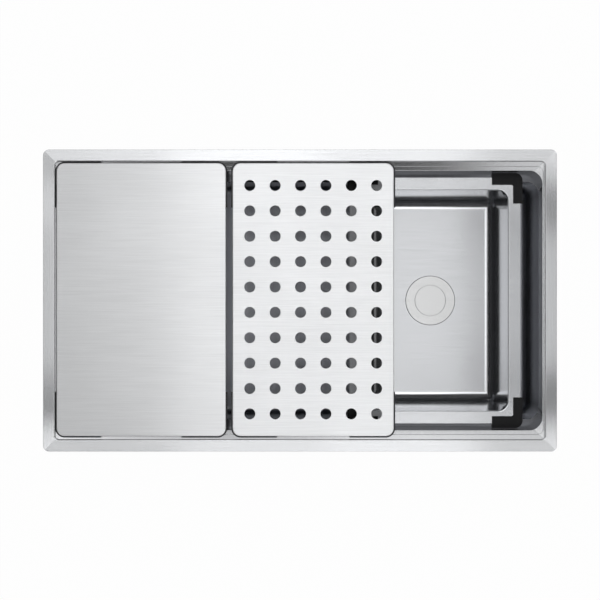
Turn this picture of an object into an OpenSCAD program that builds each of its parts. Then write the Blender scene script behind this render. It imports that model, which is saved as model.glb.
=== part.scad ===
// Two-level workstation sink: a top-mounted deck and bowl, a solid cover and a perforated
// drainer that slide on an upper ledge, and a smaller basin that slides on a lower ledge.
// Millimetres, +Z up, +Y to the rear. The origin is the centre of the worktop cut-out,
// in the plane of the worktop's top face.

/* [Deck] */
// Overall width of the deck, left to right
deck_w = 810; // [780:1:900]
// Overall depth of the deck, front to rear
deck_d = 476; // [440:1:520]
// Width of the flat flange round the opening
flange_w = 18.5; // [17:0.5:26]
// Thickness of the flange
deck_t = 1.5; // [1:0.1:3]
// Radius of the deck's outer corners
deck_corner_r = 9; // [4:1:20]
// Radius of the opening's corners
opening_r = 6; // [4:0.5:12]
// Radius of the fold from the flange into the opening
fold_r = 1.6; // [1:0.1:2.4]
// Rounding of the flange's outer top edge
deck_edge_r = 0.7; // [0.3:0.1:0.9]
// Thickness of the steel sheet of bowl and basin
sheet_t = 1.2; // [0.8:0.1:1.5]

/* [Ledges] */
// Depth of the upper ledge under the deck's top face
ledge_drop = 8; // [7:0.5:12]
// Width of the flat part of the upper ledge
ledge_w = 8; // [6:0.5:11]
// Height of the step at the upper ledge's inner edge
ledge_step = 2; // [1:0.5:3]
// Width of the lip inside that step
lip_w = 6.5; // [4:0.5:9]
// Rounding of the upper ledge's edges
ledge_edge_r = 0.8; // [0.3:0.1:0.9]
// Radius inside the corner between the ledge and the opening's walls
ledge_inside_r = 0.4; // [0.2:0.1:0.4]
// Radius of the corners at the step
step_corner_r = 10; // [6:1:14]
// Distance the side walls step in over the upper ledge
side_step = 3.5; // [1.5:0.5:5]
// Depth of the lower ledge under the deck's top face
low_ledge_drop = 55; // [40:1:70]
// Width of the lower ledge
low_ledge_w = 15; // [11:0.5:20]

/* [Bowl] */
// Depth of the bowl's floor under the deck's top face
bowl_depth = 210; // [198:1:250]
// Radius of the bowl's upright corners
bowl_r = 20; // [16:1:24]
// Radius between the bowl's floor and walls
bowl_floor_r = 12; // [6:1:14]

/* [Cover and drainer] */
// Width of the solid cover plate
cover_w = 267.1; // [220:0.1:275]
// Width of the perforated drainer plate
drainer_w = 254.5; // [245:0.1:275]
// Mean clearance between the plates' pads and the opening's front and rear walls
plate_gap_end = 2; // [1.8:0.1:4]
// Distance the plates lie behind the opening's middle
plate_shift = 1.3; // [0:0.1:1.4]
// Gap between the two plates' edges
plate_gap = 10.5; // [6:0.5:20]
// Gap between the cover's left edge and the opening's left wall
cover_inset = 2.5; // [2.4:0.1:8]
// Thickness of the plates' sheet
plate_t = 1; // [0.8:0.1:1.2]
// Height of the plates with their folded skirt
plate_h = 6; // [5:0.5:8]
// Radius of the plates' corners
plate_r = 13; // [8:1:18]
// Rounding of the plates' top edges
plate_edge_r = 1.4; // [0.8:0.1:1.5]
// Diameter of the drainer's holes
hole_d = 17.4; // [10:0.1:24]
// Spacing of the drainer's holes
hole_pitch = 40; // [30:0.5:42]
// Columns of holes, left to right
hole_cols = 6; // [2:1:6]
// Rows of holes, front to rear
hole_rows = 10; // [2:1:10]

/* [Plate pads] */
// Distance a pad stands out past its plate's edge
pad_out = 2; // [1:0.1:2]
// Length of each of a pad's two arms
pad_arm = 70; // [40:1:90]
// Thickness of a pad under the plate's skirt
pad_foot_t = 1; // [0.8:0.1:1.5]
// Thickness of a pad's inner wall
pad_inner_t = 2; // [1:0.1:3]
// Height of a pad's inner wall above its foot
pad_inner_h = 3.5; // [2:0.1:4]
// Distance from a plate's top face down to its pads' tops
pad_reveal = 1.6; // [0.5:0.1:3]

/* [Basin] */
// Width of the basin's rim, left to right
basin_w = 273.5; // [240:0.1:290]
// Distance from the basin's runners to the bowl's right wall
basin_inset = 26.6; // [22:0.1:60]
// Clearance between the basin's runners and the bowl's front and rear walls
runner_gap_end = 0.7; // [0.5:0.1:2]
// Width of the basin's flat rim at its left and right
basin_rim_side = 19.6; // [17:0.1:26]
// Width of the basin's flat rim at its front and rear
basin_rim_end = 19.8; // [16:0.1:26]
// Depth of the basin, from its rim to its floor
basin_depth = 110; // [80:1:112]
// Radius of the basin's upright corners
basin_r = 16; // [8:1:22]
// Radius between the basin's floor and walls
basin_floor_r = 15.5; // [8:0.5:24]
// Distance the basin's walls lean in on their way down
basin_draft = 13.8; // [0.5:0.1:18]
// Radius of the rim's outer corners
basin_rim_r = 9; // [4:1:12]
// Rounding between the rim and the walls
basin_edge_r = 1.8; // [1:0.1:2]

/* [Basin runners] */
// Distance a runner stands out past the rim at front and rear
runner_out_end = 7.5; // [4:0.1:9]
// Distance a runner stands out past the rim at left and right
runner_out_side = 3.5; // [1.5:0.1:6]
// Distance a runner reaches over the rim at front and rear
runner_over_end = 11.5; // [6:0.1:14]
// Distance a runner reaches over the rim at left and right
runner_over_side = 11.5; // [8:0.1:14.5]
// Length of each of a runner's two arms
runner_arm = 49; // [30:0.5:70]
// Thickness of a runner under the rim
runner_foot_t = 2.5; // [1.5:0.1:4]
// Thickness of a runner over the rim
runner_top_t = 2; // [1:0.1:3]
// Radius of a runner's outer corner
runner_r = 12; // [10:0.5:14]
// Radius of a runner's inner corner
runner_inner_r = 3; // [1:0.5:5]

/* [Basin waste] */
// Diameter of the flush ring in the basin's floor
ring_d = 80.4; // [74:0.1:90]
// Gap round that ring
ring_gap = 1; // [0.4:0.1:1.4]
// Thickness of that ring
ring_t = 1.6; // [1.2:0.1:2]
// Diameter of the plug's cap
cap_d = 50.8; // [40:0.1:52]
// Gap round the cap
cap_gap = 0.4; // [0.2:0.05:0.6]
// Thickness of the cap
cap_t = 3; // [2:0.1:4]
// Thickness of the rubber seal under the cap
plug_seal_t = 2; // [1:0.1:3]
// Width of the shoulder that the seal closes on
seat_w = 3; // [2:0.1:4]
// Outer diameter of the waste's neck
neck_d = 60; // [58:0.5:64]
// Length of the waste's neck under the ring's top face
neck_h = 24; // [20:0.5:25]
// Diameter of the plug's stem
stem_d = 8; // [6:0.1:10]
// Running clearance round the stem
stem_gap = 0.05; // [0.02:0.01:0.1]
// Diameter of the hub that guides the stem
hub_d = 16; // [13:0.5:20]
// Height of that hub
hub_h = 12; // [8:0.5:16]
// Width of the hub's arms
hub_arm_w = 3; // [2:0.5:5]
// Length of the stem that shows under the hub
stem_below = 6; // [2:0.5:10]
// Height of the nut under the basin
neck_nut_h = 8; // [5:0.5:12]

/* [Bowl waste] */
// Distance from the bowl's left wall to the centre of its waste
waste_from_left = 133; // [90:0.5:380]
// Distance from the bowl's rear wall to the centre of its waste
waste_from_rear = 95; // [80:0.5:100]
// Diameter of the strainer's flange
strainer_flange_d = 110; // [106:0.5:114]
// Thickness of the strainer's flange
strainer_flange_t = 1.6; // [1.2:0.1:2]
// Outer diameter of the strainer's cup
strainer_d = 86; // [84:0.5:90]
// Depth of the strainer's cup under the floor
strainer_h = 48; // [46:0.5:60]
// Thickness of the strainer's wall
strainer_t = 1.5; // [1.2:0.1:2]
// Diameter of the threaded spigot under the cup
spigot_d = 48; // [46:0.5:52]
// Length of that spigot
spigot_h = 16; // [12:0.5:22]
// Outer diameter of the waste pipe's tail
tail_d = 38; // [32:0.5:40]
// Wall of the waste pipe's tail
tail_t = 1.5; // [1:0.1:2]
// Length of the tail below its nut
tail_h = 60; // [40:1:120]
// Diameter of the basket that sits in the cup
basket_d = 76; // [70:0.5:77]
// Depth of that basket
basket_h = 28; // [20:0.5:30]
// Height of the basket's knob above the bowl's floor
knob_rise = 6; // [3:0.5:8]
// Depth of the shoulder that the basket hangs on
shoulder_h = 6; // [4:0.5:8]
// Clearance round the basket's lip
basket_gap = 0.5; // [0.3:0.1:1]
// Thickness of the basket's steel
basket_t = 1; // [0.8:0.1:1.5]
// Diameter of the basket's knob
knob_d = 22; // [16:1:30]
// Diameter of the basket's post
post_d = 8; // [6:0.5:10]
// Thickness of the basket's rubber stopper
stopper_t = 5; // [3:0.5:6]
// Thickness of the fibre washer over the locknut
fibre_t = 1; // [0.5:0.1:2]
// Thickness of the rubber washer under the bowl
washer_t = 3; // [2:0.1:5]
// Height of the strainer's locknut
locknut_h = 12; // [8:0.5:16]

/* [Mounting] */
// Thickness of the seal under the flange
seal_t = 1; // [0.5:0.1:2]
// Distance from the flange's outer edge to the seal
seal_inset = 2; // [1:0.5:4]
// Gap between the clips and the edge of the worktop's cut-out
cutout_gap = 1; // [0.5:0.1:2]
// Number of clips along the front, and along the rear
clips_long = 3; // [2:1:5]
// Number of clips along each side
clips_short = 2; // [1:1:3]
// Width of a clip
clip_w = 22; // [16:1:30]
// Height of a clip
clip_h = 42; // [34:1:46]
// Thickness of a clip's steel
clip_t = 2; // [1.5:0.1:2.5]
// Diameter of a clip's screw
clip_screw_d = 5; // [4:0.5:6]
// Depth of the clip rails, outwards from the bowl
rail_out = 5; // [4:0.1:6]
// Height of the clip rails
rail_h = 5.5; // [5:0.1:6]
// Distance from a clip rail's end to the opening's corner
rail_end = 70; // [40:1:120]
// Thickness of the worktop that the clips hold
worktop_t = 30; // [20:1:32]
// Length of a clip's screw below the clip's foot
screw_below = 7; // [4:0.5:12]
// Diameter of the screws' heads
screw_head_d = 9; // [7:0.5:10]
// Thickness of the clip rails' steel
rail_t = 1; // [0.8:0.1:1.2]
// Width of the front and rear damping pads
damp_long = 520; // [300:5:600]
// Width of the side damping pads
damp_short = 240; // [150:5:300]
// Height of the damping pads on the walls
damp_h = 100; // [60:5:110]
// Thickness of the sound-damping pads
damp_t = 3; // [2:0.5:6]

/* [Clearances] */
// Clearance between mating threads
thread_gap = 0.15; // [0.1:0.05:0.3]
// Clearance of the strainer's neck in the bowl's floor
neck_gap = 0.6; // [0.3:0.1:1]
// Thickness of the gaskets under the waste flanges
gasket_t = 1; // [0.6:0.1:1.4]
// Clearance round those gaskets
gasket_gap = 0.2; // [0.1:0.05:0.4]

/* [Hidden] */
$fn = 96;
over = 1;
z_deck = seal_t + deck_t;
z_ledge = z_deck - ledge_drop;
z_lip = z_ledge - ledge_step;
z_low = z_deck - low_ledge_drop;
z_floor = z_deck - bowl_depth;
open_hx = deck_w / 2 - flange_w;
open_hy = deck_d / 2 - flange_w;
step_hx = open_hx - side_step / 2;
step_hy = open_hy - ledge_w;
bowl_hx = open_hx - side_step;
upper_hy = step_hy - lip_w;
low_hy = upper_hy - low_ledge_w;
plate_d = 2 * (open_hy - plate_gap_end - pad_out);
cover_x = -open_hx + cover_inset + cover_w / 2;
drainer_x = -open_hx + cover_inset + cover_w + plate_gap + drainer_w / 2;
z_plate = z_ledge + pad_foot_t + plate_h;
z_foot = z_low + runner_foot_t;
z_rim = z_foot + sheet_t;
z_basin = z_rim - basin_depth;
runner_hx = basin_w / 2 + runner_out_side;
runner_hy = upper_hy - runner_gap_end;
basin_x = bowl_hx - basin_inset - runner_hx;
basin_d = 2 * (runner_hy - runner_out_end);
basin_hx = basin_w / 2 - basin_rim_side;
basin_hy = basin_d / 2 - basin_rim_end;
recess_r = ring_d / 2 + ring_gap;
recess_h = ring_t + gasket_t;
ledge_r = min(ledge_edge_r, side_step / 2 - 0.1);
cap_hole_r = cap_d / 2 + cap_gap;
seat_r = cap_d / 2 - seat_w;
z_seat = -cap_t - plug_seal_t;
neck_r = neck_d / 2;
strainer_r = strainer_d / 2;
waste_x = waste_from_left - bowl_hx;
waste_y = low_hy - waste_from_rear;
pit_r = strainer_flange_d / 2 + ring_gap;
pit_h = strainer_flange_t + gasket_t;
spigot_r = spigot_d / 2;
tail_r = tail_d / 2;
wall_hx = open_hx + sheet_t;
wall_hy = open_hy + sheet_t;
shoulder_r = strainer_r - 2 * strainer_t - basket_gap * 2;
z_washer = -pit_h - sheet_t;
z_fibre = z_washer - washer_t;
z_spigot = -strainer_h - spigot_h;
z_tail = z_spigot - gasket_t;
z_nut = z_tail - 2 * washer_t;
z_stopper = -shoulder_h - basket_h - stopper_t;
rail_slot = clip_t + 1;
clip_gap = 0.3;
clip_x = rail_out + clip_gap;
rail_long = 2 * (open_hx - rail_end);
rail_short = 2 * (open_hy - rail_end);
cutout_hx = wall_hx + clip_x + clip_t + cutout_gap;
cutout_hy = wall_hy + clip_x + clip_t + cutout_gap;
foot_x = flange_w - sheet_t - seal_inset;
screw_x = (clip_x + clip_t + foot_x) / 2;
corner_names = ["front_left", "front_right", "rear_left", "rear_right"];

// Flat shapes

module rounded_rect(hx, hy, r) {
    square([2 * (hx - r), 2 * hy], center = true);
    square([2 * hx, 2 * (hy - r)], center = true);
    for (sx = [-1, 1], sy = [-1, 1])
        translate([sx * (hx - r), sy * (hy - r)]) circle(r);
}

// The waste left when an outside corner at the origin, with its material at +x and +y, is rounded
module corner_waste(r) {
    difference() {
        translate([-over, -over]) square(r + over);
        translate([r, r]) circle(r);
    }
}

// Section of a trough whose walls lean in by draft and meet the floor in arcs
module trough_section(half, top, floor, r, draft) {
    lean = atan2(draft, top - floor);
    cx = half - draft * (top - floor - r) / (top - floor) - r / cos(lean);
    tx = cx + r * cos(lean);
    ty = floor + r - r * sin(lean);
    polygon([[-cx, floor], [cx, floor], [tx, ty], [half, top], [half, top + over],
        [-half, top + over], [-half, top], [-tx, ty]]);
    for (s = [-1, 1]) translate([s * cx, floor + r]) circle(r);
}

// Solids

module slab(z0, z1, hx, hy, r) {
    translate([0, 0, z0]) linear_extrude(z1 - z0) rounded_rect(hx, hy, r);
}

// Sweeps a flat section, with x outwards and y upwards, round a rectangle with round corners
module sweep_round(hx, hy, r) {
    for (q = [0:3]) rotate(90 * q) {
        a = q % 2 == 0 ? hx : hy;
        b = q % 2 == 0 ? hy : hx;
        translate([a - r, b - r, 0]) rotate_extrude(angle = 90) translate([r, 0]) children();
        translate([a, b - r, 0]) rotate([90, 0, 0]) linear_extrude(2 * (b - r)) children();
    }
}

// A box hollowed from above, with an arc between its floor and its walls
module pan(z0, z1, hx, hy, r, floor_r) {
    difference() {
        slab(z0, z1, hx, hy, r);
        sweep_round(hx, hy, r) translate([0, z0]) mirror([1, 0]) corner_waste(floor_r);
    }
}

module tube(z0, z1, r_out, r_in) {
    translate([0, 0, z0]) difference() {
        cylinder(h = z1 - z0, r = r_out);
        translate([0, 0, -over]) cylinder(h = z1 - z0 + 2 * over, r = r_in);
    }
}

// A nut: a ring with lugs for a wrench round it
module lugged_nut(z0, z1, r_out, r_in, lugs, lug_w, lug_out) {
    translate([0, 0, z0]) linear_extrude(z1 - z0) difference() {
        union() {
            circle(r_out);
            for (i = [0:lugs - 1]) rotate(360 * (i + 0.5) / lugs)
                translate([0, -lug_w / 2]) square([r_out + lug_out, lug_w]);
        }
        circle(r_in);
    }
}

// Deck and bowl

module deck_frame() {
    color("silver") difference() {
        union() {
            slab(seal_t, z_deck, deck_w / 2, deck_d / 2, deck_corner_r);
            slab(z_ledge - sheet_t, z_deck - deck_t, wall_hx, wall_hy, opening_r + sheet_t);
            slab(z_lip - sheet_t, z_ledge, step_hx + sheet_t, step_hy + sheet_t,
                step_corner_r + sheet_t);
            slab(z_low, z_lip, bowl_hx + sheet_t, upper_hy + sheet_t, bowl_r + sheet_t);
        }
        pan(z_ledge, z_deck + over, open_hx, open_hy, opening_r, ledge_inside_r);
        slab(z_lip, z_ledge + over, step_hx, step_hy, step_corner_r);
        slab(z_low - over, z_lip + over, bowl_hx, upper_hy, bowl_r);
        sweep_round(open_hx, open_hy, opening_r)
            translate([0, z_deck]) mirror([0, 1]) corner_waste(fold_r);
        sweep_round(step_hx, step_hy, step_corner_r)
            translate([0, z_ledge]) mirror([0, 1]) corner_waste(ledge_r);
        sweep_round(bowl_hx, upper_hy, bowl_r)
            translate([0, z_lip]) mirror([0, 1]) corner_waste(ledge_r);
        sweep_round(deck_w / 2, deck_d / 2, deck_corner_r)
            translate([0, z_deck]) rotate(180) corner_waste(deck_edge_r);
    }
}

module main_bowl() {
    color("darkgray") difference() {
        union() {
            slab(z_low - sheet_t, z_low, bowl_hx + sheet_t, upper_hy + sheet_t,
                bowl_r + sheet_t);
            pan(z_floor - sheet_t, z_low, bowl_hx + sheet_t, low_hy + sheet_t,
                bowl_r + sheet_t, bowl_floor_r + sheet_t);
            translate([waste_x, waste_y, z_floor - pit_h - sheet_t])
                cylinder(h = pit_h + sheet_t, r = pit_r + sheet_t);
        }
        pan(z_floor, z_low + over, bowl_hx, low_hy, bowl_r, bowl_floor_r);
        translate([waste_x, waste_y, z_floor - pit_h]) cylinder(h = pit_h + over, r = pit_r);
        translate([waste_x, waste_y, z_floor - pit_h - sheet_t - over])
            cylinder(h = pit_h + sheet_t + 2 * over, r = strainer_r + neck_gap);
    }
}

// Mounting

module rim_seal() {
    color("dimgray") difference() {
        slab(0, seal_t, deck_w / 2 - seal_inset, deck_d / 2 - seal_inset,
            deck_corner_r - seal_inset);
        slab(-over, seal_t + over, cutout_hx, cutout_hy, opening_r);
    }
}

// Puts its children on the bowl's walls: x outwards from the wall, y along it
module on_long_walls(half) {
    for (s = [-1, 1]) rotate(90 * s) translate([half, 0, 0]) children();
}

module on_side_walls(half) {
    for (q = [0, 180]) rotate(q) translate([half, 0, 0]) children();
}

// A C-shaped rail under the flange, its back on the wall and its slot facing outwards
module rail(length) {
    translate([0, length / 2, -rail_h]) rotate([90, 0, 0]) linear_extrude(length) difference() {
        square([rail_out, rail_h]);
        translate([rail_t, rail_t]) square([rail_out - 2 * rail_t, rail_h - 2 * rail_t]);
        translate([rail_t, (rail_h - rail_slot) / 2]) square([rail_out, rail_slot]);
    }
}

module clip_rails() {
    color("gray") {
        on_long_walls(wall_hy) rail(rail_long);
        on_side_walls(wall_hx) rail(rail_short);
    }
}

// A hooked steel strip whose foot reaches under the worktop
module clip() {
    tab_z = -(rail_h + rail_slot) / 2;
    difference() {
        union() {
            translate([rail_t + clip_gap, -clip_w / 2, tab_z])
                cube([rail_out + clip_gap, clip_w, clip_t]);
            translate([clip_x, -clip_w / 2, -clip_h]) cube([clip_t, clip_w, clip_h - clip_gap]);
            translate([clip_x, -clip_w / 2, -clip_h]) cube([foot_x - clip_x, clip_w, clip_t]);
        }
        translate([screw_x, 0, -clip_h - over])
            cylinder(h = clip_t + 2 * over, d = clip_screw_d + 2 * thread_gap);
    }
}

module clip_screw() {
    tip = clip_h + screw_below - worktop_t;
    translate([screw_x, 0, -clip_h - screw_below]) {
        cylinder(h = tip, d = clip_screw_d);
        translate([0, 0, -screw_head_d / 2]) difference() {
            cylinder(h = screw_head_d / 2, d = screw_head_d);
            translate([0, 0, -over])
                cylinder(h = screw_head_d / 4 + over, d = screw_head_d / 2, $fn = 6);
        }
    }
}

function spread(count, length) =
    [for (i = [0:count - 1]) count == 1 ? 0 : (length - clip_w) * (i / (count - 1) - 0.5)];

// Runs its children at every clip's place
module at_clips() {
    on_long_walls(wall_hy) for (y = spread(clips_long, rail_long)) translate([0, y, 0]) children();
    on_side_walls(wall_hx) for (y = spread(clips_short, rail_short))
        translate([0, y, 0]) children();
}

module mounting_clips() {
    color("lightgray") at_clips() clip();
}

module clip_screws() {
    color("gainsboro") at_clips() clip_screw();
}

// A rubber pad glued to a wall of the bowl, standing out along +x
module wall_pad(width) {
    z_mid = (z_low + z_floor) / 2;
    color("dimgray") translate([0, 0, z_mid]) rotate([90, 0, 90])
        linear_extrude(damp_t) rounded_rect(width / 2, damp_h / 2, bowl_floor_r);
}

module front_damping_pad() {
    rotate(-90) translate([low_hy + sheet_t, 0, 0]) wall_pad(damp_long);
}

module rear_damping_pad() {
    rotate(90) translate([low_hy + sheet_t, 0, 0]) wall_pad(damp_long);
}

module left_damping_pad() {
    rotate(180) translate([bowl_hx + sheet_t, 0, 0]) wall_pad(damp_short);
}

module right_damping_pad() {
    translate([bowl_hx + sheet_t, 0, 0]) wall_pad(damp_short);
}

module floor_damping_pad() {
    color("dimgray") difference() {
        slab(z_floor - sheet_t - damp_t, z_floor - sheet_t, damp_long / 2 + bowl_r,
            damp_short / 2 + bowl_r, bowl_floor_r);
        translate([waste_x, waste_y, z_floor - sheet_t - damp_t - over])
            cylinder(h = damp_t + 2 * over, r = pit_r + bowl_floor_r);
    }
}

// Bowl waste, drawn down from the bowl's floor

module at_waste() {
    translate([waste_x, waste_y, z_floor]) children();
}

module strainer_body() {
    color("silver") at_waste() difference() {
        union() {
            translate([0, 0, -strainer_flange_t])
                cylinder(h = strainer_flange_t, d = strainer_flange_d);
            translate([0, 0, -strainer_h]) cylinder(h = strainer_h, d = strainer_d);
            translate([0, 0, -strainer_h - spigot_h]) cylinder(h = strainer_h, d = spigot_d);
        }
        translate([0, 0, -shoulder_h]) cylinder(h = shoulder_h + over, r = strainer_r - strainer_t);
        translate([0, 0, strainer_t - strainer_h]) cylinder(h = strainer_h, r = shoulder_r);
        translate([0, 0, -strainer_h - spigot_h - over])
            cylinder(h = strainer_h, r = spigot_r - 2 * strainer_t);
    }
}

module strainer_gasket() {
    color("black") at_waste()
        tube(-pit_h, -strainer_flange_t, pit_r - gasket_gap, strainer_r + neck_gap);
}

module strainer_washer() {
    color("black") at_waste()
        tube(z_washer - washer_t, z_washer, pit_r, strainer_r + neck_gap);
}

module fibre_washer() {
    color("tan") at_waste() tube(z_fibre - fibre_t, z_fibre, pit_r, strainer_r + neck_gap);
}

module strainer_locknut() {
    color("dimgray") at_waste() lugged_nut(z_fibre - fibre_t - locknut_h, z_fibre - fibre_t,
        pit_r - 2 * washer_t, strainer_r + thread_gap, 6, locknut_h, washer_t);
}

module tailpiece_washer() {
    color("black") at_waste() tube(z_tail, z_spigot, spigot_r - thread_gap, tail_r - tail_t);
}

module tailpiece() {
    color("white") at_waste() difference() {
        union() {
            translate([0, 0, z_tail - washer_t])
                cylinder(h = washer_t, r = spigot_r - thread_gap);
            translate([0, 0, z_nut - over])
                cylinder(h = z_tail - z_nut, r = tail_r - 2 * thread_gap);
            translate([0, 0, z_nut - over - tail_h]) cylinder(h = tail_h, r = tail_r);
        }
        translate([0, 0, z_nut - tail_h - 2 * over])
            cylinder(h = z_tail - z_nut + tail_h + 3 * over, r = tail_r - tail_t);
    }
}

module tailpiece_nut() {
    grip_r = spigot_r + 2 * washer_t;
    color("white") at_waste() {
        tube(z_nut, z_tail - washer_t, grip_r, tail_r + thread_gap);
        lugged_nut(z_tail - washer_t, z_spigot + spigot_h - strainer_t, grip_r,
            spigot_r + thread_gap, 8, washer_t, tail_t);
    }
}

module strainer_basket() {
    cup_r = basket_d / 2;
    color("silver") at_waste() difference() {
        union() {
            translate([0, 0, -shoulder_h])
                cylinder(h = basket_t, r = strainer_r - strainer_t - basket_gap);
            translate([0, 0, -shoulder_h - basket_h]) cylinder(h = basket_h, r = cup_r);
        }
        translate([0, 0, basket_t - shoulder_h - basket_h])
            cylinder(h = basket_h + over, r = cup_r - basket_t);
        translate([0, 0, -shoulder_h - basket_h - over])
            cylinder(h = basket_t + 2 * over, d = post_d + 2 * thread_gap);
        for (ring = [1, 2], i = [0:8 * ring - 1]) rotate(45 * i / ring)
            translate([(cup_r - knob_d / 4) * ring / 2.3, 0, -shoulder_h - basket_h - over])
                cylinder(h = basket_t + 2 * over, d = post_d / 2);
        for (i = [0:15]) rotate(22.5 * i + 11.25)
            translate([cup_r - 2 * basket_t, -post_d / 4, -shoulder_h - basket_h * 0.75])
                cube([3 * basket_t, post_d / 2, basket_h / 2]);
    }
}

module basket_stopper() {
    color("black") at_waste() difference() {
        translate([0, 0, z_stopper]) cylinder(h = stopper_t, r = spigot_r - strainer_t);
        translate([0, 0, z_stopper - over])
            cylinder(h = stopper_t + 2 * over, d = post_d + 2 * thread_gap);
    }
}

module basket_post() {
    knob_h = knob_rise + basket_t;
    color("silver") at_waste() {
        translate([0, 0, z_stopper]) cylinder(h = knob_rise - z_stopper, d = post_d);
        translate([0, 0, -basket_t]) difference() {
            cylinder(h = knob_h, d = knob_d);
            rotate_extrude() translate([knob_d / 2, knob_h]) rotate(180)
                corner_waste(knob_rise / 3);
        }
    }
}

// Cover and drainer

// A plate with rounded top edges and a folded skirt, centred on the origin's x and y
module plate(width) {
    difference() {
        slab(z_plate - plate_h, z_plate, width / 2, plate_d / 2, plate_r);
        slab(z_plate - plate_h - over, z_plate - plate_t, width / 2 - plate_t,
            plate_d / 2 - plate_t, plate_r - plate_t);
        sweep_round(width / 2, plate_d / 2, plate_r)
            translate([0, z_plate]) rotate(180) corner_waste(plate_edge_r);
    }
}

// Section of a pad: a channel that grips the skirt and stands out past it
module pad_section() {
    top = z_plate - pad_reveal;
    inner = plate_t + pad_inner_t;
    translate([0, z_ledge]) square([pad_out, top - z_ledge]);
    translate([-inner, z_ledge]) square([inner + pad_out, pad_foot_t]);
    translate([-inner, z_ledge]) square([pad_inner_t, pad_foot_t + pad_inner_h]);
}

// The pad at the corner of a plate that lies at +x and +y of the plate's centre
module corner_pad(width) {
    arm = pad_arm - plate_r;
    color([0.1, 0.1, 0.11]) translate([width / 2 - plate_r, plate_d / 2 - plate_r, 0]) {
        rotate_extrude(angle = 90) translate([plate_r, 0]) pad_section();
        translate([plate_r, 0, 0]) rotate([90, 0, 0]) linear_extrude(arm) pad_section();
        translate([-arm, plate_r, 0]) rotate([90, 0, 90]) linear_extrude(arm) pad_section();
    }
}

// Mirrors its children into one of the four corners, counted as in corner_names
module at_corner(c) {
    mirror([1 - c % 2, 0, 0]) mirror([0, c < 2 ? 1 : 0, 0]) children();
}

module cover_plate() {
    color("lightgray") translate([cover_x, plate_shift, 0]) plate(cover_w);
}

module cover_pad(c) {
    translate([cover_x, plate_shift, 0]) at_corner(c) corner_pad(cover_w);
}

module drainer_plate() {
    color("lightgray") translate([drainer_x, plate_shift, 0]) difference() {
        plate(drainer_w);
        for (i = [0:hole_cols - 1], j = [0:hole_rows - 1])
            translate([(i - (hole_cols - 1) / 2) * hole_pitch,
                (j - (hole_rows - 1) / 2) * hole_pitch, z_plate - plate_t - over])
                cylinder(h = plate_t + 2 * over, d = hole_d);
    }
}

module drainer_pad(c) {
    translate([drainer_x, plate_shift, 0]) at_corner(c) corner_pad(drainer_w);
}

// Basin

// The room inside the basin, or its outside where grow is the sheet's thickness
module basin_room(grow) {
    hx = basin_hx + grow;
    hy = basin_hy + grow;
    r = basin_floor_r + grow;
    floor = z_basin - grow;
    span = basin_w + basin_d;
    intersection() {
        translate([0, span / 2, 0]) rotate([90, 0, 0])
            linear_extrude(span) trough_section(hx, z_rim, floor, r, basin_draft);
        translate([-span / 2, 0, 0]) rotate([90, 0, 90])
            linear_extrude(span) trough_section(hy, z_rim, floor, r, basin_draft);
        slab(floor - over, z_rim + (grow > 0 ? 0 : over), hx, hy, basin_r + grow);
    }
}

module basin_shell() {
    color("silver") translate([basin_x, 0, 0]) difference() {
        union() {
            slab(z_foot, z_rim, basin_w / 2, basin_d / 2, basin_rim_r);
            basin_room(sheet_t);
            translate([0, 0, z_basin - recess_h - sheet_t])
                cylinder(h = recess_h + sheet_t, r = recess_r + sheet_t);
        }
        basin_room(0);
        sweep_round(basin_hx, basin_hy, basin_r)
            translate([0, z_rim]) mirror([0, 1]) corner_waste(basin_edge_r);
        translate([0, 0, z_basin - recess_h]) cylinder(h = recess_h + over, r = recess_r);
        translate([0, 0, z_basin - recess_h - sheet_t - over])
            cylinder(h = recess_h + sheet_t + 2 * over, r = neck_r + neck_gap);
    }
}

// The runner at the basin's corner at +x and +y: an L that wraps the rim from under and over
module corner_runner() {
    wide = runner_out_side + runner_over_side;
    deep = runner_out_end + runner_over_end;
    color([0.06, 0.06, 0.07]) difference() {
        translate([runner_hx, runner_hy, z_low]) linear_extrude(z_rim + runner_top_t - z_low)
            difference() {
                union() {
                    translate([-runner_arm, -deep]) square([runner_arm, deep]);
                    translate([-wide, -runner_arm]) square([wide, runner_arm]);
                    translate([-wide - runner_inner_r, -deep - runner_inner_r])
                        square(2 * runner_inner_r);
                }
                translate([-wide - runner_inner_r, -deep - runner_inner_r])
                    circle(runner_inner_r);
                rotate(180) corner_waste(runner_r);
            }
        slab(z_foot, z_rim, basin_w / 2, basin_d / 2, basin_rim_r);
    }
}

module basin_runner(c) {
    translate([basin_x, 0, 0]) at_corner(c) corner_runner();
}

// Basin waste, drawn down from the basin's floor

module at_basin() {
    translate([basin_x, 0, z_basin]) children();
}

module basin_waste_body() {
    color("silver") at_basin() {
        difference() {
            union() {
                translate([0, 0, -ring_t]) cylinder(h = ring_t, d = ring_d);
                translate([0, 0, -neck_h]) cylinder(h = neck_h, r = neck_r);
            }
            translate([0, 0, z_seat]) cylinder(h = over - z_seat, r = cap_hole_r);
            translate([0, 0, -neck_h - over]) cylinder(h = neck_h, r = seat_r);
        }
        difference() {
            union() {
                translate([0, 0, -neck_h]) cylinder(h = hub_h, d = hub_d);
                for (q = [0, 90]) rotate(q)
                    translate([-seat_r - over / 2, -hub_arm_w / 2, -neck_h])
                        cube([2 * seat_r + over, hub_arm_w, hub_h / 2]);
            }
            translate([0, 0, -neck_h - over])
                cylinder(h = hub_h + 2 * over, d = stem_d + 2 * stem_gap);
        }
    }
}

module basin_waste_gasket() {
    color("black") at_basin() tube(-recess_h, -ring_t, recess_r - gasket_gap, neck_r + neck_gap);
}

module basin_waste_nut() {
    top = -recess_h - sheet_t;
    color("dimgray") at_basin() lugged_nut(top - neck_nut_h, top, ring_d / 2 - 3 * ring_t,
        neck_r + thread_gap, 4, neck_nut_h, 2 * ring_t);
}

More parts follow.
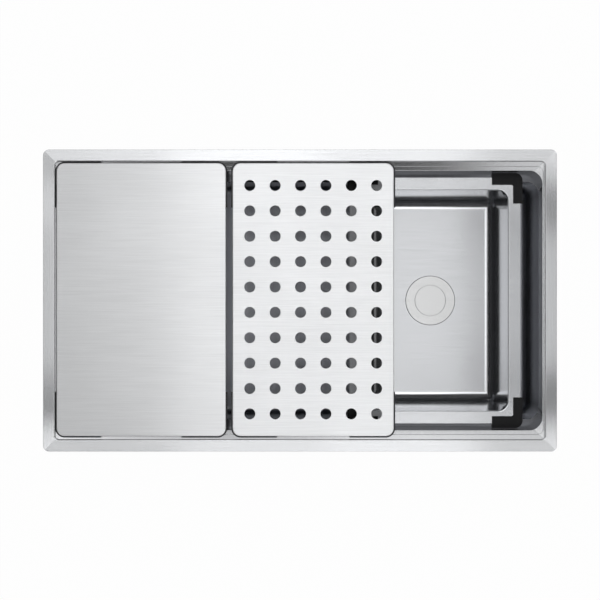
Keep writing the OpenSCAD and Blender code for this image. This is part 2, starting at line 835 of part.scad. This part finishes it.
module plug_cap() {
    color("silver") at_basin() translate([0, 0, -cap_t]) difference() {
        cylinder(h = cap_t, d = cap_d);
        rotate_extrude() translate([cap_d / 2, cap_t]) rotate(180) corner_waste(cap_gap);
    }
}

module plug_seal() {
    color("black") at_basin() tube(z_seat, -cap_t, cap_d / 2, seat_r - seat_w);
}

module plug_stem() {
    color("gray") at_basin() translate([0, 0, -neck_h - stem_below])
        cylinder(h = neck_h + stem_below - cap_t, d = stem_d);
}

deck_frame();
main_bowl();
rim_seal();
clip_rails();
mounting_clips();
clip_screws();
front_damping_pad();
rear_damping_pad();
left_damping_pad();
right_damping_pad();
floor_damping_pad();
strainer_body();
strainer_gasket();
strainer_washer();
fibre_washer();
strainer_locknut();
tailpiece_washer();
tailpiece();
tailpiece_nut();
strainer_basket();
basket_stopper();
basket_post();
cover_plate();
cover_pad(0);  // cover_pad_front_left
cover_pad(1);  // cover_pad_front_right
cover_pad(2);  // cover_pad_rear_left
cover_pad(3);  // cover_pad_rear_right
drainer_plate();
drainer_pad(0);  // drainer_pad_front_left
drainer_pad(1);  // drainer_pad_front_right
drainer_pad(2);  // drainer_pad_rear_left
drainer_pad(3);  // drainer_pad_rear_right
basin_shell();
basin_runner(0);  // basin_runner_front_left
basin_runner(1);  // basin_runner_front_right
basin_runner(2);  // basin_runner_rear_left
basin_runner(3);  // basin_runner_rear_right
basin_waste_body();
basin_waste_gasket();
basin_waste_nut();
plug_cap();
plug_stem();
plug_seal();
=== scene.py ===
import math
from collections import namedtuple

import bpy
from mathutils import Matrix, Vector


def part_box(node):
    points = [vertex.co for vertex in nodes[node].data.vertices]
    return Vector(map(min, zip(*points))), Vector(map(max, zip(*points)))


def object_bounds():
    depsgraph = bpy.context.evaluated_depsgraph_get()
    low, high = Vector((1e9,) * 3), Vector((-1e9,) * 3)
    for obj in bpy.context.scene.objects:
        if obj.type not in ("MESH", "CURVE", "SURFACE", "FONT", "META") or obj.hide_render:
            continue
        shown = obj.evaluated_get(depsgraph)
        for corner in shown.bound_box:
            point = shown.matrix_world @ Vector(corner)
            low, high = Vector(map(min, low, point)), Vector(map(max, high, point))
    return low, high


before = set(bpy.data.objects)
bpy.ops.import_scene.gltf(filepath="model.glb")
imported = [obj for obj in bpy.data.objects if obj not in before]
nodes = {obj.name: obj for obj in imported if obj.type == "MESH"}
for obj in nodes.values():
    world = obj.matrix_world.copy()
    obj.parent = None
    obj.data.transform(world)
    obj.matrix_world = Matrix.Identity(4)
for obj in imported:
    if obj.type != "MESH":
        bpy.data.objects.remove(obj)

cad_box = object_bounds()

# The camera looks straight down on the deck from CAMERA_HEIGHT above it and sees as far as
# CAMERA_REACH. In a picture IMAGE pixels wide the deck is DECK_PIXELS wide, and its middle
# lies FRAME_OFFSET pixels below the picture's middle.
CAMERA_HEIGHT = 3.04
CAMERA_REACH = 50
SENSOR_MM = 36.0
IMAGE = 600
DECK_PIXELS = 514
FRAME_OFFSET = 0.5

# Brightness of the surroundings
WORLD_LEVEL = 0.05

# Half the width of the floor, the white ring that stands on it, and how white both are. Of
# their own shade only a share shows in the picture: on the floor it keeps the shadow.
FLOOR_HALF = 20.0
BACKDROP_HEIGHT = 6.0
BACKDROP_SIDES = 48
MATTE_WHITE = (0.8, 0.8, 0.8, 1)
FLOOR_SHADOW = 0.02
BACKDROP_SHADOW = 0.0

# Three rows of soft panels above the sink, from rear to front: where the panels meet along X,
# and each panel's front and rear edge along Y and its brightness, from left to right
LAMP_HEIGHT = 1.5
LAMP_EDGES = [-0.8, -0.5, -0.3, 0.05, 0.42, 1.2]
LAMP_ROWS = [
    [(0.17, 1.1, 1.0), (0.36, 1.5, 1.3), (0.36, 1.5, 1.6), (0.36, 1.5, 1.6), (0.28, 1.1, 1.1)],
    [(-0.17, 0.17, 0.6), (-0.24, 0.29, 1.0), (-0.24, 0.29, 1.3), (-0.24, 0.29, 0.8),
     (-0.17, 0.17, 0.55)],
    [(-0.5, -0.28, 1.7), (-0.6, -0.3, 1.0), (-1.5, -0.3, 0.9), (-1.5, -0.3, 1.4),
     (-1.1, -0.28, 1.0)],
]

# Soft panels at the four diagonals: distance along X and along Y, height, size, brightness
DIAGONAL_REACH = 2.2
DIAGONAL_HEIGHT = 2.0
DIAGONAL_SIZE = 2.4
DIAGONAL_LEVEL = 1.0

deck_low, deck_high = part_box("deck_frame")
deck_w = deck_high.x - deck_low.x
deck_d = deck_high.y - deck_low.y
deck_top = deck_high.z

# Heights, lowest and highest, between which the deck's ledges, the bowl's ledge and the
# basin's rim lie. The flange's rolled edge ends above FLANGE_UNDER.
FLANGE_UNDER = -0.0008
DECK_LEDGES = (-1.0, FLANGE_UNDER)
BOWL_LEDGE = (-0.07, 0.01)
BASIN_RIM = (-0.06, 0.01)

# The strip at the basin's left end with the satin polish and the painted shade on the floor's
# rounding: its width, and where it ends along X
SATIN_AND_SHADE_STRIP = 0.055
BASIN_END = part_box("basin_shell")[0].x + SATIN_AND_SHADE_STRIP

# A face is a wall when its normal's Z is smaller than WALL_LIMIT, up or down. It faces away
# from the sink's middle when the dot product of its normal and its place, without the
# place's height, is larger than AWAY_LIMIT.
WALL_LIMIT = 0.7
AWAY_LIMIT = 0.001

# Brush lines in steel: noise scale across the lines, the share of it along them, contrast,
# and strength and depth of the relief
LINE_DENSITY = 900.0
LINE_STRETCH = 0.015
LINE_CONTRAST = 0.05
LINE_STRENGTH = 0.02
LINE_DEPTH = 0.001

# Clouds in steel's roughness: noise scale and spread
STEEL_CLOUDS = 9.0
STEEL_SPREAD = 0.06

# Grain of plastic and rubber: noise scale, spread of the roughness, and strength and depth
# of the relief
GRAIN_DENSITY = 1400.0
GRAIN_SPREAD = 0.2
GRAIN_STRENGTH = 0.15
GRAIN_DEPTH = 0.0004

# Clouds in the colour of plastic and rubber: noise scale and contrast
PLASTIC_CLOUDS = 25.0
PLASTIC_CONTRAST = 0.15

# The noise values at which a colour is darkest and lightest
DARKEST = 0.3
LIGHTEST = 0.7

# The finer polish of faces between two heights, and the share of brightness they keep, which
# is a painted shade
FineAndShade = namedtuple("FineAndShade", "heights roughness shade")
# The rougher polish of such faces to the left of x, and the share of brightness that the
# floor's rounding keeps there, which is a painted shade
SatinEndAndShade = namedtuple("SatinEndAndShade", "x roughness shade")

# How much of their brightness the sink's outer walls keep, which is a painted shade
PAINTED_OUTER_WALL_SHADE = 0.6

STEEL = (0.78, 0.785, 0.79)
CORNERS = ["front_left", "front_right", "rear_left", "rear_right"]


def link(obj):
    bpy.context.scene.collection.objects.link(obj)
    return obj


class Nodes:
    """A short way to wire a node tree. An input is given as a value or as the output of
    another node, which is then linked to it."""

    def __init__(self, tree):
        self.tree = tree
        tree.nodes.clear()

    def add(self, kind, inputs=None, **settings):
        node = self.tree.nodes.new(kind)
        for name, value in settings.items():
            setattr(node, name, value)
        for name, value in (inputs or {}).items():
            if isinstance(value, bpy.types.NodeSocket):
                self.tree.links.new(value, node.inputs[name])
            else:
                node.inputs[name].default_value = value
        return node

    def math(self, operation, *values, clamp=False):
        node = self.add("ShaderNodeMath", dict(enumerate(values)), operation=operation,
                        use_clamp=clamp)
        return node.outputs["Value"]

    def rest(self, share):
        """What is left of 1 without the share."""
        return self.math("SUBTRACT", 1.0, share)

    def vector(self, operation, a, b):
        node = self.add("ShaderNodeVectorMath", {0: a, 1: b}, operation=operation)
        return node.outputs["Value" if operation == "DOT_PRODUCT" else "Vector"]

    def noise(self, coords, scale, detail, roughness):
        node = self.add("ShaderNodeTexNoise", {"Vector": coords, "Scale": scale,
                                               "Detail": detail, "Roughness": roughness})
        return node.outputs["Fac"]

    def two_tones(self, noise, colour, contrast):
        """The colour, darker where the noise is low and lighter where it is high."""
        node = self.add("ShaderNodeValToRGB", {"Fac": noise})
        dark, light = node.color_ramp.elements
        dark.position, light.position = DARKEST, LIGHTEST
        dark.color = tuple(c * (1 - contrast) for c in colour) + (1,)
        light.color = tuple(min(1, c * (1 + contrast)) for c in colour) + (1,)
        return node.outputs["Color"]

    def spread(self, noise, middle, width):
        """A value that goes up and down around the middle with the noise."""
        return self.math("MULTIPLY_ADD", noise, width, middle - width / 2)

    def relief(self, height, strength, depth):
        node = self.add("ShaderNodeBump", {"Strength": strength, "Distance": depth,
                                           "Height": height})
        return node.outputs["Normal"]

    def brightness(self, painted_shades):
        """The product of the kept brightness of each mask that is 1, for pairs of a mask and
        its share of painted shade.
        """
        product = 1.0
        for mask, share in painted_shades:
            kept = self.math("MULTIPLY_ADD", mask, share - 1.0, 1.0)
            product = self.math("MULTIPLY", product, kept)
        return product

    def shader(self, inputs):
        node = self.add("ShaderNodeBsdfPrincipled", inputs)
        self.add("ShaderNodeOutputMaterial", {"Surface": node.outputs["BSDF"]})


def new_material(name):
    material = bpy.data.materials.new(name)
    material.use_nodes = True
    return material, Nodes(material.node_tree)


def object_coords(n):
    return n.add("ShaderNodeTexCoord").outputs["Object"]


def brush_direction(n, place, upright, brush):
    """Which way the brush lines run: upwards on walls, and along "x" or "y" on level faces.
    With "mitre" they run along the flange's four sides, and front to rear on the ledges.
    Gives the mask of the deck's left and right sides with "mitre", the mask of the level
    faces whose lines run along Y, and the direction."""
    if brush == "mitre":
        past_x = n.math("SUBTRACT", n.math("ABSOLUTE", place["X"]),
                        n.math("ABSOLUTE", place["Y"]))
        sides = n.math("GREATER_THAN", past_x, (deck_w - deck_d) / 2)
        along_y = n.math("MAXIMUM", sides, n.math("LESS_THAN", place["Z"], FLANGE_UNDER))
    else:
        sides = None
        along_y = 1.0 if brush == "y" else 0.0
    lying = n.rest(upright)
    direction = n.add("ShaderNodeCombineXYZ", {
        "X": n.math("MULTIPLY", n.rest(along_y), lying),
        "Y": n.math("MULTIPLY", along_y, lying),
        "Z": upright})
    return sides, along_y, direction.outputs["Vector"]


def brush_lines(n, coords, along_y):
    """Noise that is drawn out along X or, by the mask, along Y."""
    drawn = []
    for stretch in ((LINE_STRETCH, 1.0, 1.0), (1.0, LINE_STRETCH, 1.0)):
        scaled = n.add("ShaderNodeMapping", {"Vector": coords, "Scale": stretch})
        drawn.append(n.noise(scaled.outputs["Vector"], LINE_DENSITY, detail=3.0,
                             roughness=0.65))
    mix = n.add("ShaderNodeMix", {"Factor": along_y, "A": drawn[0], "B": drawn[1]})
    return mix.outputs["Result"]


def brushed_steel(name, colour, brush, roughness, anisotropy, fine_and_shade=None, painted_wall_shade=1.0, painted_under_shade=1.0,
                  painted_outer_shade=None, satin_end_and_shade=None, ledges_only=False):
    """Stainless steel with finely drawn brush lines. Faces between two heights take a finer
    polish and keep a share of their brightness as painted shade, but not on the deck's left
    and right sides, and with ledges_only on level faces alone. Walls keep a given share of
    their brightness as painted shade, and faces that look down keep another share, a painted
    shade under things. Walls that face away from the sink's middle can keep a share of their
    own instead, also painted shade, and then take no finer polish. At the left end, the faces
    between the two heights can take a rougher polish, and below them the floor's rounding
    keeps a share of its brightness there as painted shade."""
    material, n = new_material(name)
    coords = object_coords(n)
    place = n.add("ShaderNodeSeparateXYZ", {"Vector": coords}).outputs
    normal = n.add("ShaderNodeNewGeometry").outputs["Normal"]
    up = n.vector("DOT_PRODUCT", normal, (0, 0, 1))
    walls = n.math("LESS_THAN", n.math("ABSOLUTE", up), WALL_LIMIT)
    sides, along_y, direction = brush_direction(n, place, walls, brush)
    lines = brush_lines(n, coords, along_y)

    # Masks of the faces that differ, and the share of brightness that each keeps, which is
    # painted shade: on undersides, outer walls, the floor's rounding at the left end, the
    # ledges between the two heights and the walls
    painted_shades = [(n.math("LESS_THAN", up, -WALL_LIMIT), painted_under_shade)]
    fine_and_shade = fine_and_shade or FineAndShade((0.0, 0.0), roughness, 1.0)
    lowest, highest = fine_and_shade.heights
    polished_and_shaded = n.math("MULTIPLY", n.math("LESS_THAN", place["Z"], highest),
                      n.math("GREATER_THAN", place["Z"], lowest))
    if sides is not None:
        polished_and_shaded = n.math("MULTIPLY", polished_and_shaded, n.rest(sides))
    if painted_outer_shade is not None:
        level_place = n.vector("MULTIPLY", coords, (1, 1, 0))
        away = n.math("GREATER_THAN", n.vector("DOT_PRODUCT", normal, level_place), AWAY_LIMIT)
        painted_shades.append((n.math("MULTIPLY", walls, away), painted_outer_shade))
        polished_and_shaded = n.math("MULTIPLY", polished_and_shaded, n.rest(away))
        walls = n.math("MULTIPLY", walls, n.rest(away))
    if satin_end_and_shade is not None:
        end = n.math("LESS_THAN", place["X"], satin_end_and_shade.x)
        satin = n.math("MULTIPLY", polished_and_shaded, end)
        lower_end = n.math("SUBTRACT", end, satin)
        rounding = n.math("SUBTRACT", lower_end, walls, clamp=True)
        painted_shades.append((rounding, satin_end_and_shade.shade))
    if ledges_only:
        polished_and_shaded = n.math("MULTIPLY", polished_and_shaded, n.rest(walls))
    painted_shades += [(polished_and_shaded, fine_and_shade.shade), (walls, painted_wall_shade)]
    # The brush-line tones, darkened by that painted shade
    tones = n.two_tones(lines, colour, LINE_CONTRAST)
    shaded = n.add("ShaderNodeVectorMath", {"Vector": tones, "Scale": n.brightness(painted_shades)},
                   operation="SCALE")

    clouds = n.noise(coords, STEEL_CLOUDS, detail=3.0, roughness=0.5)
    rough = n.spread(clouds, roughness, STEEL_SPREAD)
    rough = n.math("MULTIPLY_ADD", polished_and_shaded, fine_and_shade.roughness - roughness, rough)
    if satin_end_and_shade is not None:
        rough = n.math("MULTIPLY_ADD", satin, satin_end_and_shade.roughness - fine_and_shade.roughness, rough)

    n.shader({"Base Color": shaded.outputs["Vector"], "Metallic": 1.0,
              "Roughness": rough, "Anisotropic": anisotropy,
              "Tangent": n.vector("CROSS_PRODUCT", normal, direction),
              "Normal": n.relief(lines, LINE_STRENGTH, LINE_DEPTH)})
    return material


def plastic(name, colour, roughness, gloss=0.5):
    """Moulded plastic or rubber with a fine grain."""
    material, n = new_material(name)
    coords = object_coords(n)
    grain = n.noise(coords, GRAIN_DENSITY, detail=2.0, roughness=0.6)
    clouds = n.noise(coords, PLASTIC_CLOUDS, detail=3.0, roughness=0.5)
    n.shader({"Base Color": n.two_tones(clouds, colour, PLASTIC_CONTRAST),
              "Roughness": n.spread(grain, roughness, GRAIN_SPREAD),
              "Specular IOR Level": gloss,
              "Normal": n.relief(grain, GRAIN_STRENGTH, GRAIN_DEPTH)})
    return material


def dress(names, material):
    for name in names:
        mesh = nodes[name].data
        mesh.materials.clear()
        mesh.materials.append(material)


# Painted shade: the deck's ledges keep 0.68 of their brightness, its inner walls 0.5 and its
# outer walls the outer share
deck_steel = brushed_steel(
    "deck_steel", (0.775, 0.784, 0.8), "mitre", roughness=0.21, anisotropy=0.97,
    fine_and_shade=FineAndShade(DECK_LEDGES, roughness=0.12, shade=0.68), painted_wall_shade=0.5, painted_outer_shade=PAINTED_OUTER_WALL_SHADE,
    ledges_only=True)
# Painted shade: the plates' undersides keep 0.15 of their brightness
plate_steel = brushed_steel(
    "plate_steel", (0.875, 0.884, 0.895), "x", roughness=0.34, anisotropy=1.0, painted_under_shade=0.15)
# Painted shade: the bowl's ledge keeps 0.2 of its brightness, its inner walls 0.6 and its
# outer walls the outer share
bowl_steel = brushed_steel(
    "bowl_steel", (0.72, 0.74, 0.8), "y", roughness=0.3, anisotropy=0.6,
    fine_and_shade=FineAndShade(BOWL_LEDGE, roughness=0.12, shade=0.2), painted_wall_shade=0.6, painted_outer_shade=PAINTED_OUTER_WALL_SHADE,
    ledges_only=True)
# Painted shade: the basin's walls keep 0.55 of their brightness, its undersides 0.4 and the
# floor's rounding at its left end 0.3
basin_steel = brushed_steel(
    "basin_steel", (0.75, 0.762, 0.785), "x", roughness=0.15, anisotropy=0.6,
    fine_and_shade=FineAndShade(BASIN_RIM, roughness=0.17, shade=1.0), painted_wall_shade=0.55, painted_under_shade=0.4,
    satin_end_and_shade=SatinEndAndShade(BASIN_END, roughness=0.5, shade=0.3))
waste_steel = brushed_steel("waste_steel", STEEL, "x", roughness=0.25, anisotropy=0.0)
# Painted shade: the walls of the basin's waste and plug keep 0.1 of their brightness
basin_waste_steel = brushed_steel(
    "basin_waste_steel", STEEL, "x", roughness=0.2, anisotropy=0.6, painted_wall_shade=0.1)
rail_steel = brushed_steel(
    "rail_steel", (0.6, 0.6, 0.6), "x", roughness=0.35, anisotropy=0.0)
black_plastic = plastic("black_plastic", (0.006, 0.006, 0.007), roughness=0.3, gloss=0.2)
pad_plastic = plastic("pad_plastic", (0.02, 0.02, 0.022), roughness=0.4, gloss=0.3)
rubber = plastic("rubber", (0.03, 0.03, 0.03), roughness=0.7)
damping = plastic("damping_rubber", (0.09, 0.09, 0.095), roughness=0.8)
white_plastic = plastic("white_plastic", (0.75, 0.75, 0.73), roughness=0.4)
fibre = plastic("fibre", (0.45, 0.33, 0.2), roughness=0.9)

dress(["deck_frame"], deck_steel)
dress(["main_bowl"], bowl_steel)
dress(["cover_plate", "drainer_plate"], plate_steel)
dress(["basin_shell"], basin_steel)
dress(["strainer_body", "strainer_basket", "basket_post"], waste_steel)
dress(["basin_waste_body", "plug_cap", "plug_stem"], basin_waste_steel)
dress(["clip_rails", "mounting_clips", "clip_screws"], rail_steel)
dress(["cover_pad_" + c for c in CORNERS] + ["drainer_pad_" + c for c in CORNERS], pad_plastic)
dress(["basin_runner_" + c for c in CORNERS], black_plastic)
dress(["strainer_locknut", "basin_waste_nut"], black_plastic)
dress(["tailpiece", "tailpiece_nut"], white_plastic)
dress(["rim_seal", "strainer_gasket", "strainer_washer", "tailpiece_washer", "basket_stopper",
       "basin_waste_gasket", "plug_seal"], rubber)
dress(["front_damping_pad", "rear_damping_pad", "left_damping_pad", "right_damping_pad",
       "floor_damping_pad"], damping)
dress(["fibre_washer"], fibre)


def softbox(name, place, size_x, size_y, level, aim=(0, 0, 0)):
    """An area lamp whose face is level times as bright as white."""
    data = bpy.data.lights.new(name, "AREA")
    data.shape = "RECTANGLE"
    data.size, data.size_y = size_x, size_y
    data.energy = level * math.pi * size_x * size_y
    lamp = link(bpy.data.objects.new(name, data))
    lamp.location = place
    direction = Vector(aim) - Vector(place)
    lamp.rotation_euler = direction.to_track_quat("-Z", "Y").to_euler()
    lamp.visible_camera = False


def set_world():
    world = bpy.data.worlds.new("studio")
    bpy.context.scene.world = world
    world.use_nodes = True
    n = Nodes(world.node_tree)
    room = n.add("ShaderNodeBackground", {"Color": (1, 1, 1, 1), "Strength": WORLD_LEVEL})
    n.add("ShaderNodeOutputWorld", {"Surface": room.outputs["Background"]})


def white_mesh(name, points, faces, shadow_share):
    """A matte white surface that the camera, metal and glass see as plain white, but for a
    share in which its own shade and shadows show."""
    material, n = new_material(name)
    matte = n.add("ShaderNodeBsdfDiffuse", {"Color": MATTE_WHITE})
    glow = n.add("ShaderNodeEmission", {"Strength": 1.0})
    path = n.add("ShaderNodeLightPath").outputs
    direct = n.math("MAXIMUM", path["Is Camera Ray"], path["Is Glossy Ray"])
    seen = n.math("MAXIMUM", direct, path["Is Transmission Ray"])
    mix = n.add("ShaderNodeMixShader", {
        "Fac": n.math("MULTIPLY", seen, 1.0 - shadow_share),
        1: matte.outputs["BSDF"], 2: glow.outputs["Emission"]})
    n.add("ShaderNodeOutputMaterial", {"Surface": mix.outputs["Shader"]})
    mesh = bpy.data.meshes.new(name)
    mesh.from_pydata(points, [], faces)
    mesh.materials.append(material)
    return link(bpy.data.objects.new(name, mesh))


def make_floor():
    low, _ = cad_box
    half, z = FLOOR_HALF, low.z
    corners = [(-half, -half, z), (half, -half, z), (half, half, z), (-half, half, z)]
    floor = white_mesh("floor", corners, [(0, 1, 2, 3)], FLOOR_SHADOW)


def make_backdrop():
    """A white ring that stands on the floor."""
    low, _ = cad_box
    count = BACKDROP_SIDES
    turns = [2 * math.pi * i / count for i in range(count)]
    ring = [(FLOOR_HALF * math.cos(a), FLOOR_HALF * math.sin(a)) for a in turns]
    points = [(x, y, low.z + h) for h in (0.0, BACKDROP_HEIGHT) for x, y in ring]
    faces = [(i, (i + 1) % count, count + (i + 1) % count, count + i) for i in range(count)]
    backdrop = white_mesh("backdrop", points, faces, BACKDROP_SHADOW)


def light_panels():
    for row, panels in enumerate(LAMP_ROWS):
        for column, (front, rear, level) in enumerate(panels):
            left, right = LAMP_EDGES[column:column + 2]
            x, y = (left + right) / 2, (front + rear) / 2
            softbox(f"panel_{row}_{column}", (x, y, LAMP_HEIGHT), right - left, rear - front,
                    level, aim=(x, y, 0))


def diagonal_panels():
    for x in (-DIAGONAL_REACH, DIAGONAL_REACH):
        for y in (-DIAGONAL_REACH, DIAGONAL_REACH):
            softbox(f"diagonal_{x:+.0f}_{y:+.0f}", (x, y, DIAGONAL_HEIGHT), DIAGONAL_SIZE,
                    DIAGONAL_SIZE, DIAGONAL_LEVEL)


def make_camera():
    data = bpy.data.cameras.new("camera")
    data.sensor_width = SENSOR_MM
    view_width = deck_w * IMAGE / DECK_PIXELS
    data.lens = SENSOR_MM * CAMERA_HEIGHT / view_width
    data.shift_y = FRAME_OFFSET / IMAGE
    data.clip_end = CAMERA_REACH
    camera = link(bpy.data.objects.new("camera", data))
    camera.location = (0, 0, deck_top + CAMERA_HEIGHT)
    bpy.context.scene.camera = camera


set_world()
make_floor()
make_camera()
make_backdrop()
light_panels()
diagonal_panels()
bpy.context.scene.view_settings.view_transform = "Standard"
